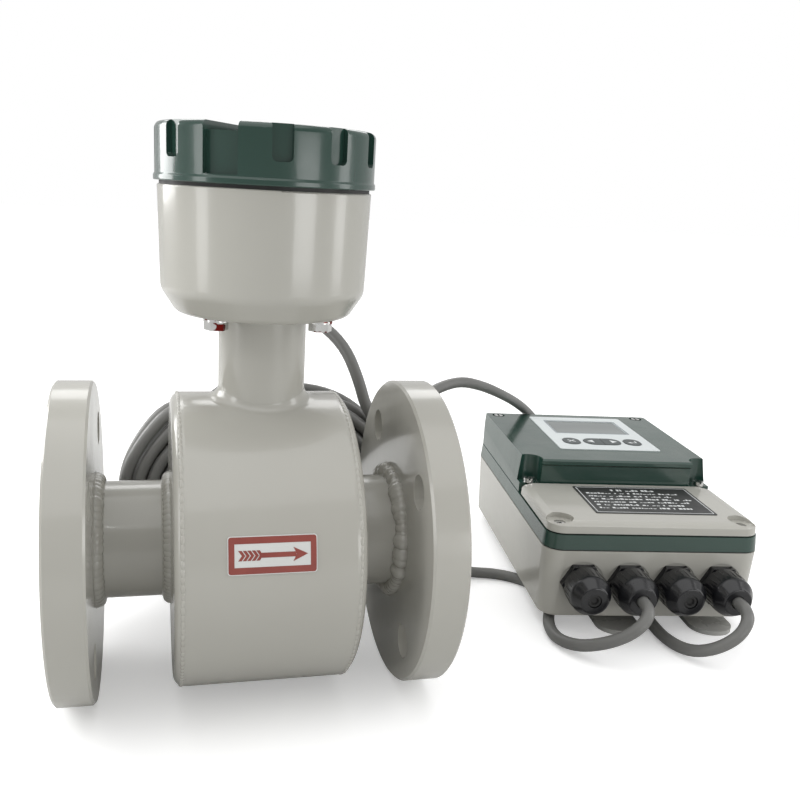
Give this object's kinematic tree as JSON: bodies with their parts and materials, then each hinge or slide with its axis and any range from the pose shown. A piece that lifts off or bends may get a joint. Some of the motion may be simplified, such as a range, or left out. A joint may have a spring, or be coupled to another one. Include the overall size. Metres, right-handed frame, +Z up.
{
  "type": "electromagnetic flow meter",
  "caption": "Flanged pipe sensor that measures liquid flow, with a terminal head on its neck and a separate display converter joined by two cables.",
  "frame": {"origin": "middle of the flow bore, halfway between the two flange faces", "axes": "+X with the flow from inlet to outlet, +Y away from the front of the sensor, +Z up the neck to the cap"},
  "size_m": [0.4528, 0.3472, 0.2909],
  "materials": {
    "cream_paint": "gloss",
    "green_paint": "gloss",
    "liner": "matte",
    "soft_iron": "matte",
    "winding": "satin",
    "stainless": "satin",
    "seal_rubber": "matte",
    "circuit_board": "satin",
    "terminal_plastic": "satin",
    "label_film": "satin",
    "gland_plastic": "gloss",
    "dark_plate": "satin",
    "display_glass": "gloss",
    "key_rubber": "matte",
    "module_plastic": "satin",
    "foot_steel": "satin",
    "cable_sheath": "satin"
  },
  "bodies": {
    "flow_meter": {"measuring_tube": "cream_paint", "liner": "liner", "inlet_flange": "cream_paint", "outlet_flange": "cream_paint", "housing_shell": "cream_paint", "inlet_end_plate": "cream_paint", "outlet_end_plate": "cream_paint", "return_yoke": "soft_iron", "upper_pole_piece": "soft_iron", "lower_pole_piece": "soft_iron", "upper_field_coil": "winding", "lower_field_coil": "winding", "front_electrode": "stainless", "rear_electrode": "stainless", "electrode_sleeves": "liner", "electrode_nuts": "stainless", "neck_tube": "cream_paint", "neck_plate": "cream_paint", "neck_gasket": "seal_rubber", "terminal_housing": "cream_paint", "head_bolts": "stainless", "head_terminal_board": "circuit_board", "head_board_posts": "stainless", "head_terminal_strip": "terminal_plastic", "flow_arrow_plate": "label_film", "head_gland_bodies": "gland_plastic", "head_gland_nuts": "gland_plastic", "head_gland_seals": "seal_rubber", "converter_base": "cream_paint", "case_gasket": "seal_rubber", "converter_cover": "green_paint", "terminal_gasket": "seal_rubber", "terminal_cover": "cream_paint", "name_plate": "dark_plate", "cover_screws": "stainless", "terminal_cover_screws": "stainless", "display_overlay": "label_film", "lcd_module": "display_glass", "display_board": "circuit_board", "main_board": "circuit_board", "power_module": "module_plastic", "converter_terminal_blocks": "terminal_plastic", "left_foot": "foot_steel", "right_foot": "foot_steel", "converter_gland_bodies": "gland_plastic", "converter_gland_nuts": "gland_plastic", "converter_gland_seals": "seal_rubber", "converter_locknuts": "gland_plastic", "cable_a_head_lead": "cable_sheath", "cable_b_head_lead": "cable_sheath", "cable_a_coil": "cable_sheath", "cable_b_coil": "cable_sheath", "cable_a_floor_lead": "cable_sheath", "cable_b_floor_lead": "cable_sheath"},
    "cap_lift": {"cap_seal": "seal_rubber"},
    "screw_cap": {"terminal_cap": "green_paint"},
    "escape_button": {"escape_key": "key_rubber"},
    "down_button": {"down_key": "key_rubber"},
    "up_button": {"up_key": "key_rubber"},
    "enter_button": {"enter_key": "key_rubber"}
  },
  "joints": [
    {"name": "cap_rise", "type": "slide", "parent": "flow_meter", "child": "cap_lift", "axis": [0, 0, 1], "range_m": [0, 0.012]},
    {"name": "cap_turn", "type": "hinge", "parent": "cap_lift", "child": "screw_cap", "pos_m": [0.005, 0, 0.182], "axis": [0, 0, 1], "range_deg": [0, 2160]},
    {"name": "escape_press", "type": "slide", "parent": "flow_meter", "child": "escape_button", "axis": [0, 0, -1], "range_m": [0, 0.0006], "stiffness_N_per_m": 1500},
    {"name": "down_press", "type": "slide", "parent": "flow_meter", "child": "down_button", "axis": [0, 0, -1], "range_m": [0, 0.0006], "stiffness_N_per_m": 1500},
    {"name": "up_press", "type": "slide", "parent": "flow_meter", "child": "up_button", "axis": [0, 0, -1], "range_m": [0, 0.0006], "stiffness_N_per_m": 1500},
    {"name": "enter_press", "type": "slide", "parent": "flow_meter", "child": "enter_button", "axis": [0, 0, -1], "range_m": [0, 0.0006], "stiffness_N_per_m": 1500}
  ],
  "couplings": [
    {"joint": "cap_rise", "follows": "cap_turn", "m_per_rad": 0.00031831}
  ]
}
